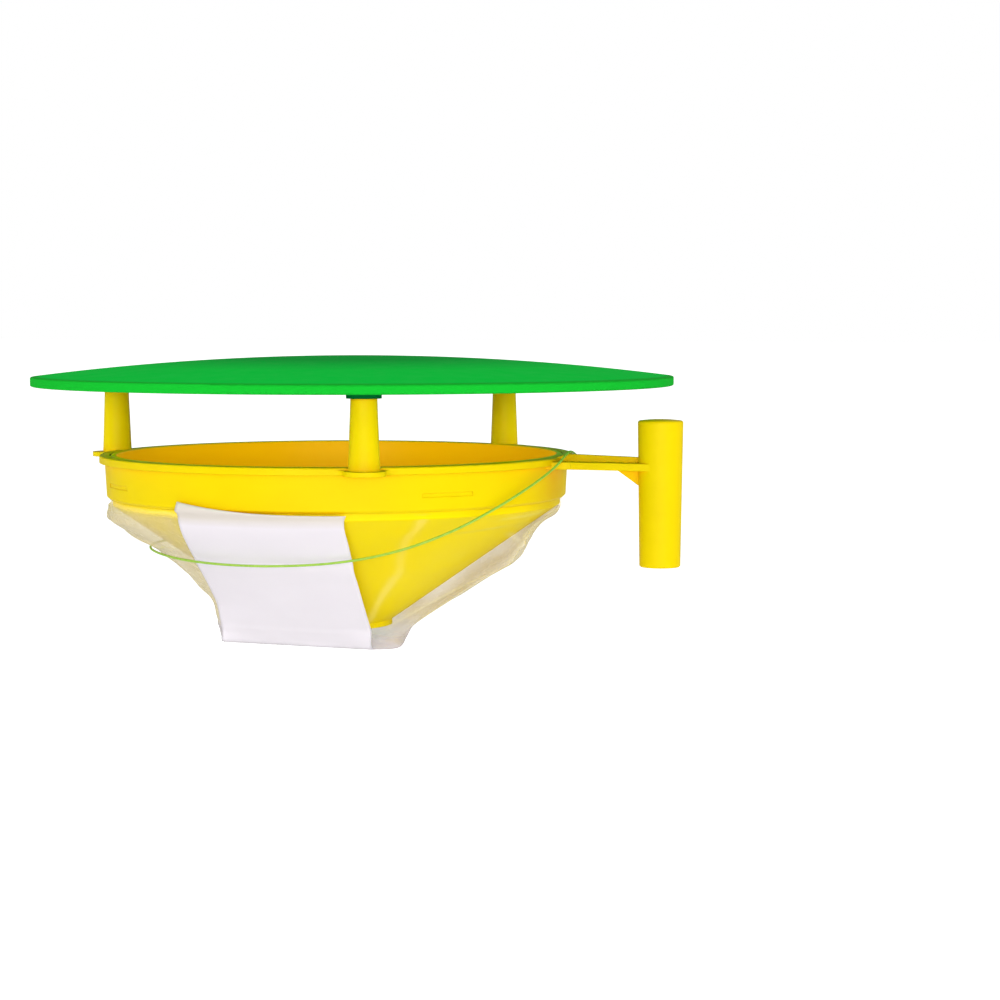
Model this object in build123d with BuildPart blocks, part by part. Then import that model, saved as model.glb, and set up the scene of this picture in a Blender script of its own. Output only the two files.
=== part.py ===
from build123d import *
import math
import os

# Insect funnel trap on a garden stake, in millimetres, +Z up. The origin is the centre of the stake
# socket's open lower mouth. The trap's ring stands at -X of it, and the arm runs along X.

# ring frame: collar, flange, ears, posts and the arm's root. It is one moulding with the stake arm,
# kept as two solids that meet face to face at arm_split
arm_reach = 114.5          # stake axis to ring axis
flange_top = 35.0          # height of the flange's upper face over the socket mouth
flange_radius = 80.5
flange_thick = 2.0
edge_round = 0.4
collar_bore = 77.0
collar_top_radius = 78.7
collar_foot_radius = 78.1
collar_drop = 14.5         # flange top to the collar's lower edge
collar_chamfer = 0.8
ear_circle = 84.3
ear_radius = 6.5
ear_drop = 0.8             # flange top to an ear's upper face
ear_thick = 1.6
post_circle = 82.0
post_foot_radius = 5.0
post_head_radius = 4.15
post_shoulder = 21.4       # flange top to the shoulder that carries the canopy
spigot_radius = 3.0
spigot_height = 5.0
post_angles = (65.5, 184.5, 299.5)     # uneven, so the canopy fits one way round
groove_angles = (47.0, 137.0, 227.0, 320.0)
groove_length = 18.0
groove_height = 1.3
groove_depth = 0.2
groove_drop = 9.2          # flange top to the middle of a gate groove

# arm and stake tube
arm_top_drop = 1.1         # flange top to the bar's upper face
arm_thick = 2.4
arm_split = 86.0           # ring axis to the face between ring frame and stake arm
arm_root_width = 18.0
arm_tip_width = 14.0
rib_thick = 2.2
rib_root_height = 2.3
rib_tip_height = 1.6
gusset_thick = 2.0
gusset_reach = 8.3
gusset_depth = 5.4
tube_foot_radius = 6.7
tube_head_radius = 7.4
tube_height = 48.2
tube_dome = 0.4
tube_edge = 0.9
stake_bore = 5.5
stake_depth = 44.0

# funnel insert
skirt_head_radius = 76.75  # close in the collar, above the bag's mouth
skirt_step_drop = 9.2
skirt_radius = 76.2
funnel_wall = 1.4
skirt_drop = 16.8
spout_radius = 18.5
spout_start_drop = 57.0
spout_end_drop = 58.8

# canopy
canopy_shift = 6.5         # canopy axis towards the stake, from the ring axis
canopy_radius = 108.4
canopy_rise = 6.9
canopy_wall = 2.0
canopy_lip = 3.0
canopy_rim_gap = 23.4      # flange top to the canopy's lower edge
socket_radius = 5.5
running_gap = 0.05
boss_radius = 13.0
boss_bore = 11.35
boss_foot = 26.6           # flange top to the boss's lower edge

# lure cup, locked in the boss by two bayonet lugs
cup_radius = 11.25
cup_wall = 1.2
cup_foot = 20.4
cup_head = 30.2
lug_reach = 12.6
lug_width = 4.0
lug_foot = 27.9
lug_height = 1.3
cup_turn = 30.0            # degrees from locked to the entry leg
slot_gap = 0.15
vent_width = 2.0
vent_height = 3.8
vent_foot = 22.6
drip_radius = 1.25
lure_radius = 4.0
lure_length = 16.0

# catch bag: drop under the flange top, half length on X, half width on Y, shift on X
bag_wall = 0.6
bag_sections = (
    (10.8, 76.95, 76.95, 0.0),
    (15.2, 76.95, 76.95, 0.0),
    (17.2, 77.6, 77.2, 0.0),
    (20.5, 76.2, 73.6, -1.2),
    (24.8, 71.6, 68.2, -1.5),
    (32.0, 64.2, 58.8, -0.4),
    (38.0, 57.2, 51.0, 0.0),
    (47.0, 46.4, 38.4, -0.8),
    (59.4, 36.2, 21.0, -5.8),
    (63.4, 34.6, 9.0, -7.0),
    (67.0, 34.0, 3.0, -7.5),
)
label_thick = 0.3
label_top = (18.2, 5.0, 27.0)       # drop, middle on X, half width
label_foot = (59.4, -12.0, 26.5)

# tie cord: angle round the ring, radius from the ring axis, drop under the flange top. It starts on the
# knot behind the arm, crosses the arm, hangs round the bag and comes back to the knot under the flange
cord_radius = 0.4
knot_place = (6.6, 84.3, 2.7)
knot_radius = 1.3
cord_points = (
    (5.2, 84.1, 0.0),
    (2.7, 83.8, -1.4),
    (0.7, 83.7, -2.0),
    (-0.7, 83.7, -2.0),
    (-2.7, 83.8, -1.3),
    (-5.4, 84.0, -0.1),
    (-7.4, 83.7, 1.6),
    (-11.0, 82.6, 4.4),
    (-18.0, 81.8, 8.4),
    (-28.0, 81.2, 14.0),
    (-38.0, 77.0, 21.0),
    (-50.0, 68.2, 27.6),
    (-65.0, 63.2, 31.2),
    (-82.0, 61.8, 32.6),
    (-100.0, 61.8, 33.0),
    (-118.0, 62.8, 32.7),
    (-136.0, 64.4, 32.1),
    (-154.0, 66.0, 31.8),
    (-172.0, 66.7, 32.0),
    (170.0, 66.6, 32.5),
    (152.0, 65.6, 33.0),
    (134.0, 64.0, 33.0),
    (116.0, 62.6, 32.8),
    (103.0, 62.4, 32.0),
    (90.0, 65.5, 30.2),
    (78.0, 71.0, 27.4),
    (69.0, 76.6, 23.4),
    (62.0, 79.4, 18.0),
    (55.0, 80.0, 12.0),
    (48.0, 79.8, 6.6),
    (40.0, 79.6, 3.6),
    (31.0, 79.5, 2.9),
    (22.0, 79.7, 2.9),
    (15.0, 81.4, 3.2),
    (9.8, 83.4, 3.2),
)

ring_x = -arm_reach
ring_axis = Axis((ring_x, 0, 0), (0, 0, 1))
ring_plane = Plane(origin=(ring_x, 0, flange_top))
ring_side = Plane(origin=(ring_x, 0, flange_top), x_dir=(1, 0, 0), z_dir=(0, -1, 0))
ring_back = Plane(origin=(ring_x, 0, flange_top), x_dir=(0, 1, 0), z_dir=(1, 0, 0))
tube_side = Plane(origin=(0, 0, 0), x_dir=(1, 0, 0), z_dir=(0, -1, 0))
canopy_x = ring_x + canopy_shift
canopy_axis = Axis((canopy_x, 0, 0), (0, 0, 1))
canopy_plane = Plane(origin=(canopy_x, 0, flange_top))
canopy_side = Plane(origin=(canopy_x, 0, flange_top), x_dir=(1, 0, 0), z_dir=(0, -1, 0))


def round_the_ring(radius, angles):
    """Points of a circle round the ring axis, in ring_plane."""
    return [
        (radius * math.cos(math.radians(angle)), radius * math.sin(math.radians(angle)))
        for angle in angles
    ]


# ---------------------------------------------------------------- ring frame
def ear_corner(vertex):
    """True for a corner between the flange's circle and an ear, in the flange's sketch."""
    place = vertex.center()
    near_ear = [
        abs((place - Vector(*ear)).length - ear_radius) < 0.01
        for ear in round_the_ring(ear_circle, post_angles)
    ]
    return any(near_ear) and abs(place.length - flange_radius) < 0.01


with BuildPart() as ring_frame:
    # flange, and a collar with a little draft and a chamfered foot
    with BuildSketch(ring_back) as ring_section:
        with BuildLine():
            Polyline(
                (collar_bore, 0),
                (flange_radius, 0),
                (flange_radius, -flange_thick),
                (collar_top_radius, -flange_thick),
                (collar_foot_radius, collar_chamfer - collar_drop),
                (collar_foot_radius - collar_chamfer, -collar_drop),
                (collar_bore, -collar_drop),
                close=True,
            )
        make_face()
        fillet(ring_section.vertices().group_by(Axis.X)[-1], radius=edge_round)
    revolve(axis=ring_axis)
    # three ears under the posts, a step lower than the flange
    with BuildSketch(ring_plane.offset(-ear_drop)) as ear_plan:
        Circle(flange_radius)
        with Locations(*round_the_ring(ear_circle, post_angles)):
            Circle(ear_radius)
        fillet(ear_plan.vertices().filter_by(ear_corner), radius=2.5)
        Circle(collar_top_radius - 1.0, mode=Mode.SUBTRACT)
    extrude(amount=-ear_thick)
    # root of the arm, as far as arm_split, with the start of its rib
    with BuildSketch(ring_plane.offset(-arm_top_drop)) as arm_root:
        with BuildLine():
            Polyline(
                (collar_top_radius - 0.8, arm_root_width / 2),
                (arm_split, arm_tip_width / 2),
                (arm_split, -arm_tip_width / 2),
                (collar_top_radius - 0.8, -arm_root_width / 2),
                close=True,
            )
        make_face()
    extrude(amount=-arm_thick)
    with BuildSketch(ring_side) as rib_root:
        with BuildLine():
            Polyline(
                (flange_radius - 2, -arm_top_drop - 0.5),
                (flange_radius - 2, 0),
                (flange_radius + 3, rib_root_height - arm_top_drop),
                (arm_split, rib_root_height - arm_top_drop),
                (arm_split, -arm_top_drop - 0.5),
                close=True,
            )
        make_face()
    extrude(amount=rib_thick / 2, both=True)
    # posts: tapered, with a foot, a shoulder and a spigot for the canopy's sockets
    for post_x, post_y in round_the_ring(post_circle, post_angles):
        with BuildSketch(ring_plane.offset(-ear_drop)) as post_foot:
            with Locations((post_x, post_y)):
                Circle(post_foot_radius)
        with BuildSketch(ring_plane.offset(post_shoulder)) as post_head:
            with Locations((post_x, post_y)):
                Circle(post_head_radius)
        loft()
        with BuildSketch(ring_plane.offset(post_shoulder)) as spigot_foot:
            with Locations((post_x, post_y)):
                Circle(spigot_radius)
        extrude(amount=spigot_height, taper=2)
    # shallow gate grooves in the collar
    with BuildSketch(ring_plane.offset(-groove_drop - groove_height / 2)) as grooves:
        for groove_angle in groove_angles:
            with Locations(*round_the_ring(collar_top_radius, (groove_angle,))):
                Rectangle(8, groove_length, rotation=groove_angle)
        Circle(collar_foot_radius + 0.25 - groove_depth, mode=Mode.SUBTRACT)
    extrude(amount=groove_height, mode=Mode.SUBTRACT)
ring_frame.part.label = "ring_frame"

# ---------------------------------------------------------------- stake arm
with BuildPart() as stake_arm:
    # a flat bar with a rib on top and a gusset below
    with BuildSketch(ring_plane.offset(-arm_top_drop)) as arm_plan:
        with Locations(((arm_split + arm_reach) / 2, 0)):
            Rectangle(arm_reach - arm_split, arm_tip_width)
    extrude(amount=-arm_thick)
    with BuildSketch(ring_side) as rib_section:
        with BuildLine():
            Polyline(
                (arm_split, -arm_top_drop - 0.5),
                (arm_split, rib_root_height - arm_top_drop),
                (arm_reach, rib_tip_height - arm_top_drop),
                (arm_reach, -arm_top_drop - 0.5),
                close=True,
            )
        make_face()
    extrude(amount=rib_thick / 2, both=True)
    with BuildSketch(ring_side) as gusset_section:
        with BuildLine():
            Polyline(
                (arm_reach - tube_foot_radius - gusset_reach, -arm_top_drop - arm_thick + 0.2),
                (arm_reach - 1, -arm_top_drop - arm_thick + 0.2),
                (arm_reach - 1, -arm_top_drop - arm_thick - gusset_depth - 0.6),
                (arm_reach - tube_foot_radius, -arm_top_drop - arm_thick - gusset_depth),
                close=True,
            )
        make_face()
    extrude(amount=gusset_thick / 2, both=True)
    # stake tube with a domed blind head
    with BuildSketch(tube_side) as tube_section:
        with BuildLine():
            Line((0, 0), (tube_foot_radius - edge_round, 0))
            Line((tube_foot_radius - edge_round, 0), (tube_foot_radius, edge_round))
            Line((tube_foot_radius, edge_round), (tube_head_radius, tube_height - tube_dome - tube_edge))
            Bezier(
                (tube_head_radius, tube_height - tube_dome - tube_edge),
                (tube_head_radius, tube_height - tube_dome),
                (tube_head_radius - tube_edge, tube_height - tube_dome),
            )
            Bezier(
                (tube_head_radius - tube_edge, tube_height - tube_dome),
                (tube_head_radius / 2, tube_height),
                (0, tube_height),
            )
            Line((0, tube_height), (0, 0))
        make_face()
    revolve(axis=Axis.Z)
    with BuildSketch(Plane.XY) as stake_hole:
        Circle(stake_bore)
    extrude(amount=stake_depth, mode=Mode.SUBTRACT)
stake_arm.part.label = "stake_arm"

# ---------------------------------------------------------------- funnel
cone_slope = (skirt_radius - spout_radius) / (spout_start_drop - skirt_drop)
wall_drop = funnel_wall * (math.sqrt(1 + cone_slope**2) - 1) / cone_slope
with BuildPart() as funnel:
    with BuildSketch(ring_side) as funnel_section:
        with BuildLine():
            Polyline(
                (skirt_head_radius, 0),
                (skirt_head_radius, -skirt_step_drop),
                (skirt_radius, -skirt_step_drop - (skirt_head_radius - skirt_radius)),
                (skirt_radius, -skirt_drop),
                (spout_radius, -spout_start_drop),
                (spout_radius, -spout_end_drop),
                (spout_radius - funnel_wall, -spout_end_drop),
                (spout_radius - funnel_wall, -spout_start_drop + wall_drop),
                (skirt_radius - funnel_wall, -skirt_drop + wall_drop),
                (skirt_radius - funnel_wall, 0),
                close=True,
            )
        make_face()
    revolve(axis=ring_axis)
    fillet(funnel.edges().group_by(Axis.Z)[-1], radius=0.4)
funnel.part.label = "funnel"

# ---------------------------------------------------------------- canopy
rim_top = canopy_rim_gap + canopy_lip
crown = rim_top + canopy_rise
lip_radius = canopy_radius - canopy_wall
ceiling = crown - canopy_wall
rim_ceiling = rim_top - canopy_wall * 0.8
with BuildPart() as canopy:
    with BuildSketch(canopy_side) as shell_section:
        with BuildLine():
            Bezier((0, crown), (canopy_radius / 2, crown), (canopy_radius, rim_top))
            Line((canopy_radius, rim_top), (canopy_radius, canopy_rim_gap))
            Line((canopy_radius, canopy_rim_gap), (lip_radius, canopy_rim_gap))
            Line((lip_radius, canopy_rim_gap), (lip_radius, rim_ceiling))
            Bezier((lip_radius, rim_ceiling), (lip_radius / 2, ceiling), (0, ceiling))
            Line((0, ceiling), (0, crown))
        make_face()
        fillet(shell_section.vertices().group_by(Axis.X)[-1], radius=0.5)
    revolve(axis=canopy_axis)
    # sockets for the posts, up to inside the shell
    with BuildSketch(ring_plane.offset(post_shoulder)) as sockets:
        with Locations(*round_the_ring(post_circle, post_angles)):
            Circle(socket_radius)
    extrude(amount=rim_top + 1.7 - post_shoulder)
    with BuildSketch(ring_plane.offset(post_shoulder)) as socket_bores:
        with Locations(*round_the_ring(post_circle, post_angles)):
            Circle(spigot_radius + running_gap)
    extrude(amount=spigot_height + 0.3, mode=Mode.SUBTRACT)
    # boss for the lure cup, with two bayonet slots through its wall
    with BuildSketch(canopy_plane.offset(boss_foot)) as boss:
        Circle(boss_radius)
        Circle(boss_bore, mode=Mode.SUBTRACT)
    extrude(amount=ceiling + 0.5 - boss_foot)
    half_lug = math.degrees(lug_width / 2 / cup_radius) + 1.5
    with BuildSketch(canopy_plane.offset(lug_foot - slot_gap)) as bayonet_run:
        for side in (0, 180):
            with BuildLine():
                start = side - half_lug
                end = side + cup_turn + half_lug
                PolarLine((0, 0), boss_radius + 2, start)
                PolarLine((0, 0), boss_radius + 2, end)
                CenterArc((0, 0), boss_radius + 2, start, end - start)
            make_face()
        Circle(boss_bore - 0.5, mode=Mode.SUBTRACT)
    extrude(amount=lug_height + 2 * slot_gap, mode=Mode.SUBTRACT)
    with BuildSketch(canopy_plane.offset(boss_foot - 1)) as bayonet_entry:
        for side in (0, 180):
            with BuildLine():
                start = side + cup_turn - half_lug
                end = side + cup_turn + half_lug
                PolarLine((0, 0), boss_radius + 2, start)
                PolarLine((0, 0), boss_radius + 2, end)
                CenterArc((0, 0), boss_radius + 2, start, end - start)
            make_face()
        Circle(boss_bore - 0.5, mode=Mode.SUBTRACT)
    extrude(amount=lug_foot - boss_foot + 1.5, mode=Mode.SUBTRACT)
canopy.part.label = "canopy"

# ---------------------------------------------------------------- lure cup and lure
with BuildPart() as lure_cup:
    with BuildSketch(canopy_plane.offset(cup_foot)) as cup_body:
        Circle(cup_radius)
    extrude(amount=cup_head - cup_foot)
    fillet(lure_cup.edges().group_by(Axis.Z)[0], radius=1.0)
    with BuildSketch(canopy_plane.offset(cup_foot + cup_wall)) as cup_room:
        Circle(cup_radius - cup_wall)
    extrude(amount=cup_head - cup_foot, mode=Mode.SUBTRACT)
    with BuildSketch(canopy_plane.offset(lug_foot)) as lugs:
        Rectangle(2 * lug_reach, lug_width)
        Circle(lug_reach, mode=Mode.INTERSECT)
        Circle(cup_radius - cup_wall / 2, mode=Mode.SUBTRACT)
    extrude(amount=lug_height)
    with BuildSketch(canopy_plane.offset(vent_foot)) as vents:
        with PolarLocations(cup_radius, 10, start_angle=18):
            Rectangle(4, vent_width)
    extrude(amount=vent_height, mode=Mode.SUBTRACT)
    with BuildSketch(canopy_plane.offset(cup_foot - 1)) as drips:
        with PolarLocations(6.2, 6):
            Circle(drip_radius)
        Circle(drip_radius)
    extrude(amount=cup_wall + 2, mode=Mode.SUBTRACT)
lure_cup.part.label = "lure_cup"

lure_side = Plane(
    origin=(canopy_x, -lure_length / 2, flange_top + cup_foot + cup_wall + lure_radius),
    x_dir=(1, 0, 0),
    z_dir=(0, 1, 0),
)
with BuildPart() as lure:
    with BuildSketch(lure_side) as lure_body:
        Circle(lure_radius)
    extrude(amount=lure_length)
    with BuildSketch(lure_side) as lure_well:
        Circle(lure_radius * 0.55)
    extrude(amount=lure_length * 0.4, mode=Mode.SUBTRACT)
    fillet(lure.edges().filter_by(GeomType.CIRCLE).sort_by(Axis.Y)[-1], radius=0.8)
lure.part.label = "lure"


# ---------------------------------------------------------------- catch bag and its label
def bag_outlines(grow, mouth_lift, floor_lift):
    """The bag's sections, each grown by grow, with the first and the last one raised."""
    outlines = []
    lifts = [mouth_lift] + [0.0] * (len(bag_sections) - 2) + [floor_lift]
    for lift, (drop, half_x, half_y, shift) in zip(lifts, bag_sections):
        with BuildSketch(ring_plane.offset(lift - drop)) as outline:
            with Locations((shift, 0)):
                Ellipse(half_x + grow, half_y + grow)
        outlines.append(outline.sketch)
    return outlines


bag_outside = bag_outlines(0.0, 0.0, 0.0)
bag_inside = bag_outlines(-bag_wall, 0.01, bag_wall)
label_outside = bag_outlines(label_thick, 0.0, -label_thick)
label_inside = bag_outlines(0.02, 0.5, -0.02)

with BuildPart() as catch_bag:
    loft(sections=bag_outside, ruled=True)
    loft(sections=bag_inside, ruled=True, mode=Mode.SUBTRACT)
catch_bag.part.label = "catch_bag"

with BuildPart() as label:
    loft(sections=label_outside, ruled=True)
    loft(sections=label_inside, ruled=True, mode=Mode.SUBTRACT)
    top_drop, top_x, top_half = label_top
    foot_drop, foot_x, foot_half = label_foot
    with BuildSketch(ring_side) as label_outline:
        with BuildLine():
            Polyline(
                (top_x - top_half, -top_drop),
                (top_x + top_half, -top_drop),
                (foot_x + foot_half, -foot_drop),
                (foot_x - foot_half, -foot_drop),
                close=True,
            )
        make_face()
    extrude(amount=collar_bore + 10, mode=Mode.INTERSECT)
label.part.label = "label"

# ---------------------------------------------------------------- tie cord and its knot
def on_route(angle, radius, drop):
    """A place on the cord's route, in the row frame."""
    around = math.radians(angle)
    return Vector(ring_x + radius * math.cos(around), radius * math.sin(around), flange_top - drop)


knot = on_route(*knot_place)
with BuildPart() as tie_knot:
    with Locations(knot):
        Sphere(knot_radius)
tie_knot.part.label = "tie_knot"

cord_stops = [on_route(*stop) for stop in cord_points]
cord_start = knot + (cord_stops[0] - knot).normalized() * knot_radius
cord_end = knot + (cord_stops[-1] - knot).normalized() * knot_radius
route = [cord_start, *cord_stops, cord_end]
bends = []
for before, here, after in zip(route, route[1:], route[2:]):
    turn = math.radians((here - before).get_angle(after - here))
    shorter = min((here - before).length, (after - here).length)
    bends.append(0.45 * shorter / math.tan(turn / 2))
print("cord bend radii", [round(bend, 1) for bend in bends])
with BuildPart() as tie_cord:
    with BuildLine() as cord_path:
        FilletPolyline(*route, radius=bends)
    with BuildSketch(Plane(cord_path.line @ 0, z_dir=cord_path.line % 0)) as cord_section:
        Circle(cord_radius)
    sweep()
tie_cord.part.label = "tie_cord"
cord_length = sum(edge.length for edge in cord_path.edges())
cord_volume = math.pi * cord_radius**2 * cord_length
print("cord length", round(cord_length, 1), "volume ratio", round(tie_cord.part.volume / cord_volume, 4))

# ---------------------------------------------------------------- export
os.makedirs("parts", exist_ok=True)
export_step(ring_frame.part, "parts/ring_frame.step")
export_step(stake_arm.part, "parts/stake_arm.step")
export_step(funnel.part, "parts/funnel.step")
export_step(canopy.part, "parts/canopy.step")
export_step(lure_cup.part, "parts/lure_cup.step")
export_step(lure.part, "parts/lure.step")
export_step(catch_bag.part, "parts/catch_bag.step")
export_step(label.part, "parts/label.step")
export_step(tie_cord.part, "parts/tie_cord.step")
export_step(tie_knot.part, "parts/tie_knot.step")
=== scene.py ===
import math

import bpy
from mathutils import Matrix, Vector, noise


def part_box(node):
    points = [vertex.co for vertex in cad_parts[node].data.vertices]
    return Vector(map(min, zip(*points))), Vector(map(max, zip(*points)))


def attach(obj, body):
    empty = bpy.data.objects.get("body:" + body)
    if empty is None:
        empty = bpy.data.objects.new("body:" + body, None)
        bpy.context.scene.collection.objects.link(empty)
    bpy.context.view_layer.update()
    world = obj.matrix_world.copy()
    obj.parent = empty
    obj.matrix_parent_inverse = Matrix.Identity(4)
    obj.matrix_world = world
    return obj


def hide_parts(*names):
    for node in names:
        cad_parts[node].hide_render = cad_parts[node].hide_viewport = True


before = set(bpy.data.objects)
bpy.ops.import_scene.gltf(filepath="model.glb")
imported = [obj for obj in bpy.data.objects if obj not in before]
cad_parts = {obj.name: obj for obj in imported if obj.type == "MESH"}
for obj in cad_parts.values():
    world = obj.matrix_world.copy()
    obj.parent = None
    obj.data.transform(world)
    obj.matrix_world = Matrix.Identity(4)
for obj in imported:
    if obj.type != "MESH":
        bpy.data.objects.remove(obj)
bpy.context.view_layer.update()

# ---------------------------------------------------------------- places, from the CAD
funnel_low, funnel_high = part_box("funnel")
RING_X = (funnel_low.x + funnel_high.x) / 2
FLANGE_Z = funnel_high.z
RING_TOP = Vector((RING_X, 0, FLANGE_Z))
canopy_low, canopy_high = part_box("canopy")
CANOPY_X = (canopy_low.x + canopy_high.x) / 2
CANOPY_RIM_Z = RING_TOP.z + 0.0234
MM = 0.001

# ---------------------------------------------------------------- camera
VIEW_TURN = math.radians(19.7)
CAMERA_RIGHT = Vector((math.cos(VIEW_TURN), math.sin(VIEW_TURN), 0))
CAMERA_AHEAD = Vector((-math.sin(VIEW_TURN), math.cos(VIEW_TURN), 0))

camera_data = bpy.data.cameras.new("camera")
camera_data.sensor_width = 36
camera_data.lens = 80.6
camera = bpy.data.objects.new("camera", camera_data)
camera.location = RING_TOP + 0.0556 * CAMERA_RIGHT - 0.766 * CAMERA_AHEAD + Vector((0, 0, 0.04535))
camera.rotation_euler = (math.radians(90 - 4.6), 0, VIEW_TURN)
bpy.context.scene.collection.objects.link(camera)
bpy.context.scene.camera = camera


# ---------------------------------------------------------------- helpers for meshes and curves
def add_mesh(name, points, faces, smooth=True):
    """A new mesh object in the row frame."""
    mesh = bpy.data.meshes.new(name)
    mesh.from_pydata([tuple(p) for p in points], [], faces)
    mesh.validate()
    mesh.update()
    if smooth:
        mesh.polygons.foreach_set("use_smooth", [True] * len(mesh.polygons))
    piece = bpy.data.objects.new(name, mesh)
    bpy.context.scene.collection.objects.link(piece)
    return piece


def add_cord(name, points, radius):
    """A round cord on one NURBS spline whose control points are the given points."""
    curve = bpy.data.curves.new(name, "CURVE")
    curve.dimensions = "3D"
    curve.bevel_depth = radius
    curve.bevel_resolution = 3
    curve.resolution_u = 12
    curve.use_fill_caps = True
    spline = curve.splines.new("NURBS")
    spline.points.add(len(points) - 1)
    for control, point in zip(spline.points, points):
        control.co = (*point, 1)
    spline.order_u = 3
    spline.use_endpoint_u = True
    piece = bpy.data.objects.new(name, curve)
    bpy.context.scene.collection.objects.link(piece)
    return piece


def smoothstep(low, high, value):
    share = min(max((value - low) / (high - low), 0.0), 1.0)
    return share * share * (3 - 2 * share)


# ---------------------------------------------------------------- tie cord
CORD_RADIUS = 0.0004
KNOT_RADIUS = 0.0013


def round_the_ring(angle, distance, drop):
    """The point at an angle in degrees round the ring axis, in the row frame."""
    around = math.radians(angle)
    return RING_TOP + Vector((distance * math.cos(around), distance * math.sin(around), -drop))


# angle round the ring in degrees, distance from the ring axis and drop under the flange, in metres
KNOT = round_the_ring(6.6, 0.0843, 0.0027)
CORD_ROUTE = (
    (5.2, 0.0841, 0.0000),
    (2.7, 0.0838, -0.0014),
    (0.7, 0.0837, -0.0020),
    (-0.7, 0.0837, -0.0020),
    (-2.7, 0.0838, -0.0013),
    (-5.4, 0.0840, -0.0001),
    (-7.4, 0.0837, 0.0016),
    (-11.0, 0.0826, 0.0044),
    (-18.0, 0.0818, 0.0084),
    (-28.0, 0.0812, 0.0140),
    (-38.0, 0.0770, 0.0210),
    (-50.0, 0.0682, 0.0276),
    (-65.0, 0.0632, 0.0312),
    (-82.0, 0.0618, 0.0326),
    (-100.0, 0.0618, 0.0330),
    (-118.0, 0.0628, 0.0327),
    (-136.0, 0.0634, 0.0321),
    (-154.0, 0.0648, 0.0317),
    (-172.0, 0.0651, 0.0318),
    (170.0, 0.0651, 0.0322),
    (152.0, 0.0650, 0.0327),
    (134.0, 0.0640, 0.0330),
    (116.0, 0.0626, 0.0328),
    (103.0, 0.0624, 0.0320),
    (90.0, 0.0655, 0.0302),
    (78.0, 0.0710, 0.0274),
    (69.0, 0.0766, 0.0234),
    (62.0, 0.0794, 0.0180),
    (55.0, 0.0800, 0.0120),
    (48.0, 0.0798, 0.0066),
    (40.0, 0.0796, 0.0036),
    (31.0, 0.0795, 0.0029),
    (22.0, 0.0797, 0.0029),
    (15.0, 0.0814, 0.0032),
    (9.8, 0.0834, 0.0032),
)
route = [round_the_ring(*stop) for stop in CORD_ROUTE]
cord_points = [
    KNOT + (route[0] - KNOT).normalized() * KNOT_RADIUS,
    *route,
    KNOT + (route[-1] - KNOT).normalized() * KNOT_RADIUS,
]
tie_cord = add_cord("tie_cord_line", cord_points, CORD_RADIUS)


# ---------------------------------------------------------------- catch bag
# in millimetres: drop under the flange, the half widths to the left, right, front and back of the middle,
# and the middle's X from the ring axis; then the power of the front's corners, where the back's is 2
BAG_ROWS = (
    (10.9, 76.6, 76.6, 76.6, 76.6, 0.0, 2.0),
    (14.3, 76.6, 76.6, 76.6, 76.6, 0.0, 2.0),
    (16.2, 76.9, 76.9, 76.9, 76.9, 0.0, 2.0),
    (18.2, 78.5, 76.4, 75.4, 76.6, 0.0, 2.0),
    (20.4, 79.2, 74.9, 72.9, 75.4, 0.0, 2.0),
    (22.2, 79.3, 71.8, 70.6, 73.8, 0.0, 2.0),
    (23.9, 77.0, 69.9, 68.3, 72.0, 0.0, 2.0),
    (26.0, 73.4, 68.1, 65.4, 69.4, 0.0, 2.0),
    (30.0, 67.2, 65.8, 59.8, 64.0, 0.0, 2.0),
    (32.3, 63.2, 64.6, 56.6, 61.0, 0.0, 2.0),
    (34.4, 60.4, 63.6, 53.8, 58.0, 0.0, 2.05),
    (36.6, 57.4, 61.8, 50.8, 54.8, 0.0, 2.05),
    (38.4, 55.6, 58.7, 48.2, 52.2, 0.0, 2.05),
    (43.0, 50.0, 50.7, 41.5, 45.6, 0.0, 2.2),
    (50.6, 42.6, 40.3, 30.9, 34.2, -1.4, 2.5),
    (57.2, 37.2, 34.7, 21.9, 23.2, -5.6, 3.0),
    (59.4, 36.9, 32.4, 18.2, 20.6, -5.7, 3.2),
    (62.0, 36.6, 31.4, 9.6, 17.0, -4.4, 3.4),
    (64.0, 36.5, 30.6, 3.2, 8.8, -3.2, 3.6),
    (65.0, 36.4, 28.2, 1.4, 1.7, -2.7, 3.6),
    (65.4, 36.3, 24.8, 0.6, 0.5, -2.5, 2.0),
    (65.8, 36.1, 19.0, 0.10, 0.10, -2.5, 2.0),
)
FOOT_FORWARD = 10.8       # mm that the bag's foot seam hangs in front of the ring's axis
# the label: drop, then its left and right edge on X
LABEL_TOP = (15.0, -21.8, 33.2)
LABEL_FOOT = (65.6, -39.0, 17.0)
LABEL_BOW = 1.2
LABEL_HEAD_RISE = 3.4     # mm that the head's left corner reaches up outside the collar
# the label's head clears the collar by standing this far from the ring's axis, less its lean for each mm
# that it is below the collar's foot
LABEL_CLEAR_RADIUS = 79.0
LABEL_LEAN = 1.5
COLLAR_FOOT_DROP = 14.6
CONE_TOP_DROP, CONE_TOP_RADIUS = 16.8, 76.2
CONE_END_DROP, CONE_END_RADIUS, SPOUT_END_DROP = 57.0, 18.5, 58.8


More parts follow.
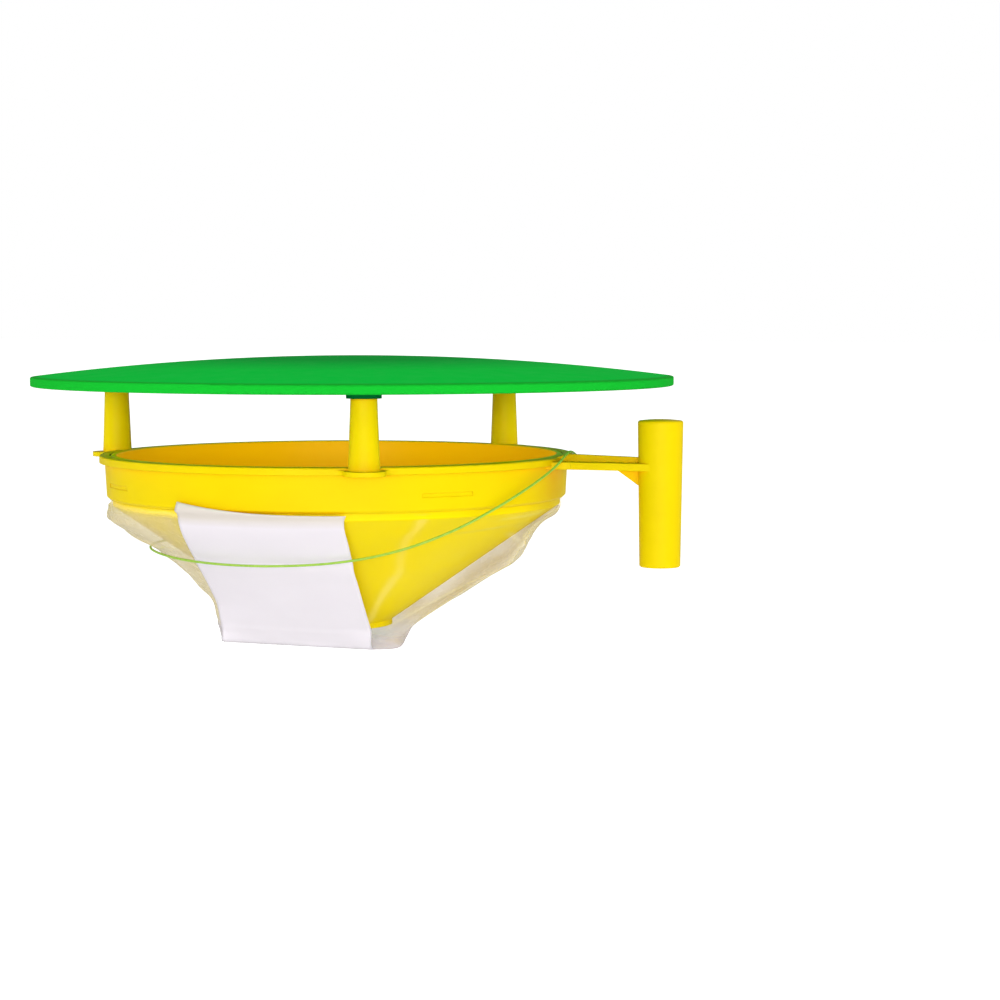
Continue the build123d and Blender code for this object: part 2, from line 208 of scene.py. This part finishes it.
def row_at(drop):
    """The bag's section at a drop, by a smooth curve through the rows."""
    rows = BAG_ROWS
    last = len(rows) - 2
    at = max(i for i in range(last + 1) if rows[i][0] <= drop or i == 0)
    lower, upper = rows[max(at - 1, 0)], rows[min(at + 2, last + 1)]
    here, there = rows[at], rows[at + 1]
    step = there[0] - here[0]
    share = (drop - here[0]) / step
    values = []
    for k in range(1, len(here)):
        slope_here = (there[k] - lower[k]) / max(there[0] - lower[0], 0.01) * step
        slope_there = (upper[k] - here[k]) / max(upper[0] - here[0], 0.01) * step
        a, b = here[k], there[k]
        values.append(
            a
            + share * slope_here
            + share**2 * (3 * (b - a) - 2 * slope_here - slope_there)
            + share**3 * (2 * (a - b) + slope_here + slope_there)
        )
    return values


def cone_radius(drop):
    """The funnel's outside radius at a drop, and 0 under its spout."""
    if drop > SPOUT_END_DROP:
        return 0.0
    share = min(max((drop - CONE_TOP_DROP) / (CONE_END_DROP - CONE_TOP_DROP), 0.0), 1.0)
    return CONE_TOP_RADIUS + share * (CONE_END_RADIUS - CONE_TOP_RADIUS)


# folds of the film, each a line from one place to another: the section's own angle in degrees (-90 is the
# front) and the drop at its start and at its end, then its half width and height in mm
FOLDS = (
    (-45.5, 15.0, -56, 57.0, 2.3, 0.8),
    (-24, 18.6, 14, 16.4, 0.9, 0.7),
    (-36, 22.8, -19, 21.2, 0.9, 0.6),
    (-14, 24.0, 6, 31.0, 1.5, 0.8),
    (6, 22.0, -4, 36.0, 1.8, 0.9),
    (-6, 37.5, -34, 60.0, 2.0, 0.8),
    (-176, 18.0, -140, 16.2, 1.0, 0.7),
    (-178, 22.5, -132, 30.0, 1.7, 1.0),
    (-166, 36.0, -150, 48.0, 1.6, 0.8),
    (-150, 19.0, -165, 32.0, 1.5, 0.6),
    (-120, 15.5, -88, 15.8, 0.8, 0.6),
    (30, 17.0, 15, 50.0, 1.8, 1.0),
    (52, 16.0, 64, 44.0, 1.6, 0.9),
    (66, 17.0, 96, 21.0, 1.1, 0.7),
    (84, 16.0, 98, 55.0, 2.0, 1.1),
    (112, 16.0, 102, 36.0, 1.5, 0.8),
    (134, 16.0, 160, 52.0, 2.0, 1.0),
    (158, 17.0, 146, 31.0, 1.5, 0.9),
)
# places where the film is drawn in against the cone: middle angle, half width in degrees, depth in mm
TOUCHES = ((-50, 27, 3.6), (-100, 20, 1.5))
SLANT = 1.7       # the cone's length for each unit of drop


def fold_height(turn, drop, reach):
    """How far the folds lift the film at a place on the bag, in mm."""
    lift = 0.0
    for start_turn, start_drop, end_turn, end_drop, half, height in FOLDS:
        run_u = math.radians(end_turn - start_turn) * reach
        run_v = (end_drop - start_drop) * SLANT
        u = math.radians((turn - start_turn + 180) % 360 - 180) * reach
        v = (drop - start_drop) * SLANT
        length = math.hypot(run_u, run_v)
        along = (u * run_u + v * run_v) / length
        across = (u * run_v - v * run_u) / length
        if abs(across) > 4 * half or not -3 < along < length + 3:
            continue
        ends = smoothstep(-3.0, 4.0, along) * smoothstep(length + 3.0, length - 4.0, along)
        lift += height * ends * math.exp(-((across / half) ** 2))
    return lift


def label_edges(drop):
    """Where the label's left and right edges stand at a drop, in mm on X from the ring's axis."""
    down = (drop - LABEL_TOP[0]) / (LABEL_FOOT[0] - LABEL_TOP[0])
    bow = LABEL_BOW * math.sin(math.pi * min(max(down, 0.0), 1.0)) ** 2
    left = LABEL_TOP[1] + down * (LABEL_FOOT[1] - LABEL_TOP[1]) - bow
    return left, LABEL_TOP[2] + down * (LABEL_FOOT[2] - LABEL_TOP[2])


def under_label(x, drop):
    """1 for film that lies under the label, fading to 0 beside it."""
    left, right = label_edges(drop)
    return smoothstep(left - 7, left - 1, x) * smoothstep(right + 7, right + 1, x)


def bag_point(turn, drop, puff=0.0, wrinkled=True):
    """A point of the film. turn is the section's own angle in degrees, 0 to the right, -90 to the front."""
    left, right, front, back, middle, power = row_at(drop)
    c, s = math.cos(math.radians(turn)), math.sin(math.radians(turn))
    half_x = right if c > 0 else left
    half_y = back if s > 0 else front
    power = 2.0 if s > 0 else power
    x = half_x * math.copysign(abs(c) ** (2 / power), c)
    y = half_y * math.copysign(abs(s) ** (2 / power), s)
    forward = FOOT_FORWARD * smoothstep(58.0, 65.4, drop)
    reach = max(math.hypot(x, y), 0.01)
    free = smoothstep(14.6, 18.0, drop) * smoothstep(65.0, 57.5, drop)
    covered = under_label(middle + x, drop) if y < 0 else 0.0
    lift = puff
    for touch_turn, touch_half, depth in TOUCHES:
        off = (turn - touch_turn + 180) % 360 - 180
        lift -= (1 - covered) * free * depth * math.exp(-((off / touch_half) ** 2))
    if wrinkled and free > 0:
        small = noise.fractal(Vector((x * 0.045, y * 0.045, drop * 0.03)), 0.9, 2.0, 3)
        lift += free * (1 - covered) * (fold_height(turn, drop, reach) + 0.3 * small)
    outward = Vector((x / max(half_x, 4.0), y / max(half_y, 4.0), 0)).normalized()
    place = Vector((middle + x, y - forward, 0)) + lift * outward
    hold = cone_radius(drop) + 0.45 + puff
    if drop > CONE_TOP_DROP and hold > 1 and place.length < hold:
        place = place.normalized() * hold
    return RING_TOP + MM * Vector((place.x, place.y, -drop))


BAG_TURNS = 300
BAG_LEVELS = 110
bag_drops = [
    BAG_ROWS[0][0] + (BAG_ROWS[-1][0] - BAG_ROWS[0][0]) * level / BAG_LEVELS
    for level in range(BAG_LEVELS + 1)
]
bag_points = [
    bag_point(360 * k / BAG_TURNS - 180, drop) for drop in bag_drops for k in range(BAG_TURNS)
]
bag_faces = [
    (
        level * BAG_TURNS + k,
        level * BAG_TURNS + (k + 1) % BAG_TURNS,
        (level + 1) * BAG_TURNS + (k + 1) % BAG_TURNS,
        (level + 1) * BAG_TURNS + k,
    )
    for level in range(BAG_LEVELS)
    for k in range(BAG_TURNS)
]
catch_bag = add_mesh("catch_bag_film", bag_points, bag_faces)

# the film's haze: milky below the spout, and at the left and the back where it stands off the cone, but
# clear in front of the cone apart from its folds
haze = catch_bag.data.attributes.new("haze", "FLOAT", "POINT")
for index, point in enumerate(bag_points):
    turn = 360 * (index % BAG_TURNS) / BAG_TURNS - 180
    drop = (RING_TOP.z - point.z) / MM
    reach = math.hypot(point.x - RING_TOP.x, point.y) / MM
    below_spout = smoothstep(SPOUT_END_DROP, SPOUT_END_DROP + 2, drop)
    stand_off = max(smoothstep(0.6, 4.0, reach - cone_radius(drop)), below_spout)
    left = smoothstep(-100, -112, turn)
    front = smoothstep(-114, -101, turn) * smoothstep(6, -4, turn) * smoothstep(63.0, 59.0, drop)
    milk = max(stand_off * (1 - front), left * smoothstep(13.6, 18.5, drop) * 0.9)
    # the folds in front carry a little haze, which the film's material also turns into a painted highlight
    fold_haze_and_highlight = 0.32 * front * min(fold_height(turn, drop, max(reach, 1.0)), 1.0)
    haze.data[index].value = max(milk, fold_haze_and_highlight, 0.0)


# ---------------------------------------------------------------- label
LABEL_COLUMNS = 48
LABEL_ROWS = 56


def label_point(across, down, lift):
    """A point of the label on the bag's front, across and down from 0 to 1."""
    head = LABEL_TOP[0] - LABEL_HEAD_RISE * (1 - across) ** 2.5
    drop = head + down * (LABEL_FOOT[0] - head)
    left, right = label_edges(drop)
    x = left + across * (right - left)
    half_left, half_right, _, _, middle, power = row_at(drop)
    half = half_right if x > middle else half_left
    share = min(max((x - middle) / half, -0.9995), 0.9995)
    turn = -math.degrees(math.acos(math.copysign(abs(share) ** (power / 2), share)))
    place = bag_point(turn, drop, puff=lift, wrinkled=False)
    away = Vector((place.x - RING_TOP.x, place.y, 0))
    clear = MM * (LABEL_CLEAR_RADIUS + lift - LABEL_LEAN * max(drop - COLLAR_FOOT_DROP, 0.0))
    return place + max(clear - away.length, 0.0) * away.normalized()


label_points = []
label_faces = []
for lift in (0.55, 0.25):
    for row in range(LABEL_ROWS + 1):
        for column in range(LABEL_COLUMNS + 1):
            label_points.append(label_point(column / LABEL_COLUMNS, row / LABEL_ROWS, lift))
stride = LABEL_COLUMNS + 1
under = stride * (LABEL_ROWS + 1)
for row in range(LABEL_ROWS):
    for column in range(LABEL_COLUMNS):
        a = row * stride + column
        label_faces.append((a, a + stride, a + stride + 1, a + 1))
        label_faces.append((under + a, under + a + 1, under + a + stride + 1, under + a + stride))
for column in range(LABEL_COLUMNS):
    a, b = column, LABEL_ROWS * stride + column
    label_faces.append((a, a + 1, under + a + 1, under + a))
    label_faces.append((b, under + b, under + b + 1, b + 1))
for row in range(LABEL_ROWS):
    a, b = row * stride, row * stride + LABEL_COLUMNS
    label_faces.append((a, under + a, under + a + stride, a + stride))
    label_faces.append((b, b + stride, under + b + stride, under + b))
label = add_mesh("label_panel", label_points, label_faces)


# ---------------------------------------------------------------- materials
class Material:
    """A node material on one Principled shader."""

    def __init__(self, name, **sockets):
        self.made = bpy.data.materials.new(name)
        self.made.use_nodes = True
        self.tree = self.made.node_tree
        self.shader = self.tree.nodes["Principled BSDF"]
        self.place = self.node("ShaderNodeTexCoord").outputs["Object"]
        for socket, value in sockets.items():
            self.shader.inputs[socket.replace("_", " ")].default_value = value

    def node(self, kind, inputs=None, **settings):
        made = self.tree.nodes.new(kind)
        for key, value in settings.items():
            setattr(made, key, value)
        for key, value in (inputs or {}).items():
            if isinstance(value, bpy.types.NodeSocket):
                self.tree.links.new(value, made.inputs[key])
            else:
                made.inputs[key].default_value = value
        return made

    def link(self, output, socket):
        self.tree.links.new(output, self.shader.inputs[socket])

    def noise(self, scale, detail=2.0, stretch=(1, 1, 1), roughness=0.5):
        place = self.node(
            "ShaderNodeMapping", {"Vector": self.place, "Scale": stretch}
        ).outputs["Vector"]
        return self.node(
            "ShaderNodeTexNoise",
            {"Vector": place, "Scale": scale, "Detail": detail, "Roughness": roughness},
        ).outputs["Fac"]

    def ramp(self, factor, *stops):
        made = self.node("ShaderNodeValToRGB", {"Fac": factor})
        band = made.color_ramp
        while len(band.elements) < len(stops):
            band.elements.new(0.5)
        for element, (position, colour) in zip(band.elements, stops):
            element.position = position
            element.color = (*colour, 1)
        return made.outputs["Color"]

    def span(self, value, low, high, to_low, to_high):
        return self.node(
            "ShaderNodeMapRange",
            {"Value": value, "From Min": low, "From Max": high, "To Min": to_low, "To Max": to_high},
        ).outputs["Result"]

    def math(self, operation, a, b=0.0):
        return self.node("ShaderNodeMath", {0: a, 1: b}, operation=operation).outputs[0]

    def mix(self, factor, a, b, blend="MIX"):
        made = self.node("ShaderNodeMix", data_type="RGBA", blend_type=blend)
        for index, value in ((0, factor), (6, a), (7, b)):
            if isinstance(value, bpy.types.NodeSocket):
                self.tree.links.new(value, made.inputs[index])
            else:
                made.inputs[index].default_value = value if index == 0 else (*value, 1)
        return made.outputs[2]

    def bump(self, height, strength, distance, normal=None):
        inputs = {"Height": height, "Strength": strength, "Distance": distance}
        if normal is not None:
            inputs["Normal"] = normal
        return self.node("ShaderNodeBump", inputs).outputs["Normal"]


def moulded_plastic(name, deep, main, light, roughness, edge_highlight_colour, specular=0.06, edge_highlight_share=0.15):
    """Moulded polypropylene: drifting pigment, faint flow lines, a fine satin skin, soft edges, and a
    painted highlight along the edges, patchy with noise.
    """
    m = Material(name, Specular_IOR_Level=specular, IOR=1.49)
    drift = m.noise(28, 3)
    flow = m.noise(16, 4, stretch=(1, 1, 5), roughness=0.6)
    pigment = m.math("ADD", m.math("MULTIPLY", drift, 0.6), m.math("MULTIPLY", flow, 0.4))
    colour = m.ramp(pigment, (0.3, deep), (0.5, main), (0.72, light))
    rounded = m.node("ShaderNodeBevel", {"Radius": 0.0005}, samples=4).outputs["Normal"]
    facing = m.node(
        "ShaderNodeVectorMath",
        {0: rounded, 1: m.node("ShaderNodeNewGeometry").outputs["Normal"]},
        operation="DOT_PRODUCT",
    ).outputs["Value"]
    # painted highlight: the edges, where the bevelled normal turns from the face, take the lighter edge
    # colour, broken up by noise
    edge_highlight_mask = m.span(facing, 0.995, 0.8, 0.0, edge_highlight_share)
    patchy_edge_highlight = m.math("MULTIPLY", edge_highlight_mask, m.span(m.noise(420, 2), 0.35, 0.65, 0.25, 1.0))
    m.colour = m.mix(patchy_edge_highlight, colour, edge_highlight_colour)
    m.link(m.colour, "Base Color")
    m.link(m.span(m.noise(140, 3), 0.3, 0.7, roughness - 0.05, roughness + 0.07), "Roughness")
    skin = m.bump(m.noise(1500, 2), 0.08, 0.0002, rounded)
    m.link(m.bump(m.noise(40, 2), 0.05, 0.0006, skin), "Normal")
    return m


def from_axis(m, axis_x):
    """The vector from an upright axis to the shaded point, level with it."""
    away = m.node("ShaderNodeVectorMath", {0: m.place, 1: (axis_x, 0, 0)}, operation="SUBTRACT")
    return m.node(
        "ShaderNodeVectorMath", {0: away.outputs[0], 1: (1, 1, 0)}, operation="MULTIPLY"
    ).outputs[0]


def painted_orange_shade_where_shut_in(m, painted_shade_orange):
    """Painted shade: yellow plastic is painted orange where ambient occlusion finds it shut in, standing in
    for light bounced between its own faces.
    """
    open_air = m.node("ShaderNodeAmbientOcclusion", {"Distance": 0.045}, samples=3).outputs["AO"]
    m.link(m.mix(m.span(open_air, 0.72, 0.3, 0.0, 1.0), m.colour, painted_shade_orange), "Base Color")


def painted_orange_shade_and_glow_inside(m, painted_shade_orange, painted_glow):
    """Painted shade and glow on the funnel's inner face: painted orange for light bounced inside it, and
    made to glow for a little light let through its wall from outside.
    """
    radial = m.node("ShaderNodeVectorMath", {0: from_axis(m, RING_X)}, operation="NORMALIZE")
    normal = m.node("ShaderNodeNewGeometry").outputs["Normal"]
    turned = m.node(
        "ShaderNodeVectorMath", {0: radial.outputs[0], 1: normal}, operation="DOT_PRODUCT"
    ).outputs["Value"]
    inside = m.span(turned, -0.1, -0.5, 0.0, 1.0)
    m.link(m.mix(inside, m.colour, painted_shade_orange), "Base Color")
    m.shader.inputs["Emission Color"].default_value = (*painted_glow, 1)
    m.link(inside, "Emission Strength")


def painted_light_brighter_to_the_rim(m, centre_x, deep, bright, lip):
    """Painted light on the dome: darker at its crest and brighter towards its rim, with a deeper lip; the
    sockets below the rim get a painted shade of dark green.
    """
    away = m.node("ShaderNodeVectorMath", {0: from_axis(m, centre_x)}, operation="LENGTH").outputs["Value"]
    # painted light: the dome's colour grows brighter from the crest towards the rim
    shade = m.ramp(
        m.span(away, 0.0, 0.1084, 0.0, 1.0),
        (0.35, deep), (0.7, bright), (0.97, bright), (0.99, lip),
    )
    height = m.node("ShaderNodeSeparateXYZ", {"Vector": m.place}).outputs["Z"]
    # painted shade: the sockets below the canopy's rim are painted dark green
    socket = m.span(height, CANOPY_RIM_Z - 0.0006, CANOPY_RIM_Z - 0.0002, 1.0, 0.0)
    m.link(m.mix(socket, m.mix(0.8, m.colour, shade), (0.0, 0.13, 0.03)), "Base Color")


yellow_frame = moulded_plastic(
    "frame_yellow_plastic", (0.83, 0.61, 0.0), (0.87, 0.65, 0.0), (0.89, 0.68, 0.0), 0.42,
    edge_highlight_colour=(0.93, 0.78, 0.01),
)
# painted orange shade where the frame is shut in
painted_orange_shade_where_shut_in(yellow_frame, (0.95, 0.50, 0.0))
# the funnel's yellow is lighter than the frame's: painted light that makes up for the shade the bag's film
# casts on the cone
yellow_funnel = moulded_plastic(
    "funnel_yellow_plastic", (0.93, 0.71, 0.0), (0.96, 0.75, 0.0), (0.98, 0.77, 0.0), 0.38,
    edge_highlight_colour=(0.93, 0.72, 0.01),
)
# painted orange shade and a painted glow on the funnel's inner face
painted_orange_shade_and_glow_inside(yellow_funnel, (0.95, 0.51, 0.0), (0.21, 0.10, 0.0))
green_canopy = moulded_plastic(
    "canopy_green_plastic", (0.0, 0.46, 0.045), (0.0, 0.50, 0.048), (0.001, 0.53, 0.05), 0.6,
    edge_highlight_colour=(0.02, 0.66, 0.04), specular=0.01, edge_highlight_share=0.4,
)
painted_light_brighter_to_the_rim(green_canopy, CANOPY_X, (0.0, 0.44, 0.045), (0.0, 0.80, 0.065), (0.01, 0.50, 0.025))
green_cup = moulded_plastic(
    "cup_green_plastic", (0.0, 0.10, 0.03), (0.0, 0.14, 0.04), (0.0, 0.17, 0.05), 0.45,
    edge_highlight_colour=(0.02, 0.30, 0.08),
)


def lure_rubber():
    """A matt moulded rubber bung with a bloom of dust."""
    m = Material("lure_red_rubber", Specular_IOR_Level=0.3)
    cloud = m.noise(260, 4)
    m.link(m.ramp(cloud, (0.3, (0.49, 0.13, 0.08)), (0.7, (0.60, 0.19, 0.12))), "Base Color")
    m.link(m.span(m.noise(500, 3), 0.3, 0.7, 0.65, 0.9), "Roughness")
    m.link(m.bump(m.noise(1800, 3), 0.35, 0.0002), "Normal")
    return m


def clear_film():
    """Thin polythene film: clear on the cone, milky off it and grey at the foot, painted yellow near the
    cone for the cone's light, and with a painted glow and painted highlight on its folds.
    """
    m = Material("bag_clear_film", Specular_IOR_Level=0.16, IOR=1.5)
    stand_off = m.node("ShaderNodeAttribute", attribute_name="haze").outputs["Fac"]
    cloud = m.noise(45, 4, stretch=(1, 1, 0.45))
    drift = m.math("ADD", stand_off, m.span(cloud, 0.3, 0.7, -0.12, 0.12))
    # painted light: the film is painted yellow where it lies on the cone and pale yellow where the haze is
    # light, for the cone's light in it
    tint = m.ramp(
        drift, (0.08, (0.95, 0.78, 0.02)), (0.3, (1.0, 0.90, 0.40)), (0.6, (0.90, 0.79, 0.30)),
        (1.0, (0.74, 0.63, 0.36)),
    )
    height = m.node("ShaderNodeSeparateXYZ", {"Vector": m.place}).outputs["Z"]
    foot = m.span(height, RING_TOP.z - 0.056, RING_TOP.z - 0.060, 0.0, 1.0)
    m.link(m.mix(foot, tint, (0.58, 0.52, 0.54)), "Base Color")
    # painted glow standing in for light let through the film: brightest where the haze is light, on the
    # folds and where the film leaves the cone, as a painted highlight, and faint in the milky part
    painted_glow = m.ramp(
        stand_off, (0.05, (0, 0, 0)), (0.3, (0.34, 0.29, 0.12)), (0.6, (0.07, 0.06, 0.012)),
        (1.0, (0.07, 0.06, 0.012)),
    )
    m.link(m.mix(foot, painted_glow, (0.02, 0.02, 0.03)), "Emission Color")
    m.shader.inputs["Emission Strength"].default_value = 1.0
    m.link(m.span(m.noise(220, 3), 0.3, 0.7, 0.18, 0.32), "Roughness")
    edge_on = m.node("ShaderNodeLayerWeight", {"Blend": 0.32}).outputs["Facing"]
    grazing = m.math("MULTIPLY", m.math("POWER", edge_on, 4.0), 0.4)
    milk = m.span(stand_off, 0.0, 1.0, 0.02, 0.64)
    clouded = m.math("MULTIPLY", milk, m.span(cloud, 0.3, 0.7, 0.8, 1.2))
    m.link(m.math("ADD", clouded, grazing), "Alpha")
    wrinkle = m.bump(m.noise(95, 4, stretch=(1, 1, 0.5)), 0.2, 0.001)
    m.link(m.bump(m.noise(420, 2), 0.12, 0.0003, wrinkle), "Normal")
    return m


def paper_label():
    """A blank printed panel, with a painted warm shade along its head under the collar's foot."""
    m = Material("label_white_print", Specular_IOR_Level=0.08)
    cloud = m.noise(30, 3)
    white = m.ramp(cloud, (0.3, (0.875, 0.825, 0.88)), (0.7, (0.91, 0.86, 0.915)))
    height = m.node("ShaderNodeSeparateXYZ", {"Vector": m.place}).outputs["Z"]
    # painted shade: darker and warmer along the label's head
    head = m.span(height, RING_TOP.z - 0.0195, RING_TOP.z - 0.0165, 0.0, 1.0)
    m.link(m.mix(head, white, (0.72, 0.66, 0.60)), "Base Color")
    m.link(m.span(m.noise(180, 3), 0.3, 0.7, 0.45, 0.6), "Roughness")
    m.link(m.bump(m.noise(900, 3), 0.08, 0.0002), "Normal")
    return m


def cord_plastic():
    """A thin green twisted line."""
    m = Material("cord_green_line", Roughness=0.4, Specular_IOR_Level=0.4)
    cloud = m.noise(700, 3)
    m.link(m.ramp(cloud, (0.3, (0.28, 0.52, 0.04)), (0.7, (0.38, 0.62, 0.08))), "Base Color")
    m.link(m.bump(m.noise(2500, 2), 0.4, 0.0001), "Normal")
    return m


film_material = clear_film()
cord_material = cord_plastic()


def dress(piece, m):
    """Puts one material on every slot of a piece."""
    if not piece.data.materials:
        piece.data.materials.append(m.made)
    for place in piece.material_slots:
        place.material = m.made


for node_name, m in (
    ("ring_frame", yellow_frame),
    ("stake_arm", yellow_frame),
    ("funnel", yellow_funnel),
    ("canopy", green_canopy),
    ("lure_cup", green_cup),
    ("lure", lure_rubber()),
    ("tie_knot", cord_material),
):
    dress(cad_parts[node_name], m)
dress(catch_bag, film_material)
dress(label, paper_label())
dress(tie_cord, cord_material)

# ---------------------------------------------------------------- riding on the frame, in place of the CAD parts
for piece, node_name, slot_name in (
    (catch_bag, "catch_bag", "bag_film"),
    (label, "label", "label_white"),
    (tie_cord, "tie_cord", "cord_green"),
):
    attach(piece, "frame")
    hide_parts(node_name)

# ---------------------------------------------------------------- floor, world and lights
FLOOR_Z = RING_TOP.z - 0.27
FLOOR_HALF = 30.0


def stage_material():
    """A white sweep that reads as plain white, and gives the object only its ordinary bounced light."""
    m = Material("stage_white", Roughness=0.9, Specular_IOR_Level=0.05)
    m.shader.inputs["Emission Color"].default_value = (1, 1, 1, 1)
    seen = m.node("ShaderNodeLightPath").outputs["Is Camera Ray"]
    m.link(m.math("MULTIPLY", seen, 0.85), "Emission Strength")
    m.link(m.ramp(m.noise(3, 2), (0.3, (0.88, 0.88, 0.88)), (0.7, (0.90, 0.90, 0.90))), "Base Color")
    return m


floor = add_mesh(
    "floor",
    [(x * FLOOR_HALF, y * FLOOR_HALF, FLOOR_Z) for x, y in ((-1, -1), (1, -1), (1, 1), (-1, 1))],
    [(0, 1, 2, 3)],
    smooth=False,
)
dress(floor, stage_material())

world = bpy.data.worlds.new("studio")
bpy.context.scene.world = world
world.use_nodes = True
tree = world.node_tree
background = tree.nodes["Background"]
background.inputs["Color"].default_value = (1, 1, 1, 1)
direction = tree.nodes.new("ShaderNodeTexCoord")
height = tree.nodes.new("ShaderNodeSeparateXYZ")
tree.links.new(direction.outputs["Generated"], height.inputs["Vector"])
sky = tree.nodes.new("ShaderNodeMapRange")
sky.inputs["From Min"].default_value = 0.0
sky.inputs["From Max"].default_value = 0.7
sky.inputs["To Min"].default_value = 0.48
sky.inputs["To Max"].default_value = 0.42
tree.links.new(height.outputs["Z"], sky.inputs["Value"])
paths = tree.nodes.new("ShaderNodeLightPath")
glossy = tree.nodes.new("ShaderNodeMix")
glossy.inputs[3].default_value = 0.22
tree.links.new(paths.outputs["Is Glossy Ray"], glossy.inputs[0])
tree.links.new(sky.outputs["Result"], glossy.inputs[2])
seen = tree.nodes.new("ShaderNodeMix")
seen.inputs[3].default_value = 1.0
tree.links.new(paths.outputs["Is Camera Ray"], seen.inputs[0])
tree.links.new(glossy.outputs[0], seen.inputs[2])
tree.links.new(seen.outputs[0], background.inputs["Strength"])


def soft_light(name, right, ahead, up, width, tall, watts, glossy=True):
    """A rectangular softbox, placed from the ring along the camera's axes and facing it."""
    lamp = bpy.data.lights.new(name, "AREA")
    lamp.shape = "RECTANGLE"
    lamp.size = width
    lamp.size_y = tall
    lamp.energy = watts
    made = bpy.data.objects.new(name, lamp)
    away = right * CAMERA_RIGHT + ahead * CAMERA_AHEAD + Vector((0, 0, up))
    made.location = RING_TOP + away
    made.rotation_euler = away.to_track_quat("Z", "Y").to_euler()
    made.visible_glossy = glossy
    made.visible_camera = False
    bpy.context.scene.collection.objects.link(made)


soft_light("key_light", 0.0, -1.15, 0.085, 1.2, 0.12, 6.8)
soft_light("left_light", -1.10, -0.25, 0.22, 0.6, 0.6, 3.4, glossy=False)
soft_light("right_light", 1.15, -0.35, 0.22, 0.6, 0.6, 3.0, glossy=False)
soft_light("low_light", 0.55, -0.95, -0.17, 0.9, 0.12, 1.1, glossy=False)
soft_light("back_light", 0.20, 1.10, 0.75, 1.0, 0.8, 2.0, glossy=False)

bpy.context.scene.view_settings.view_transform = "Standard"
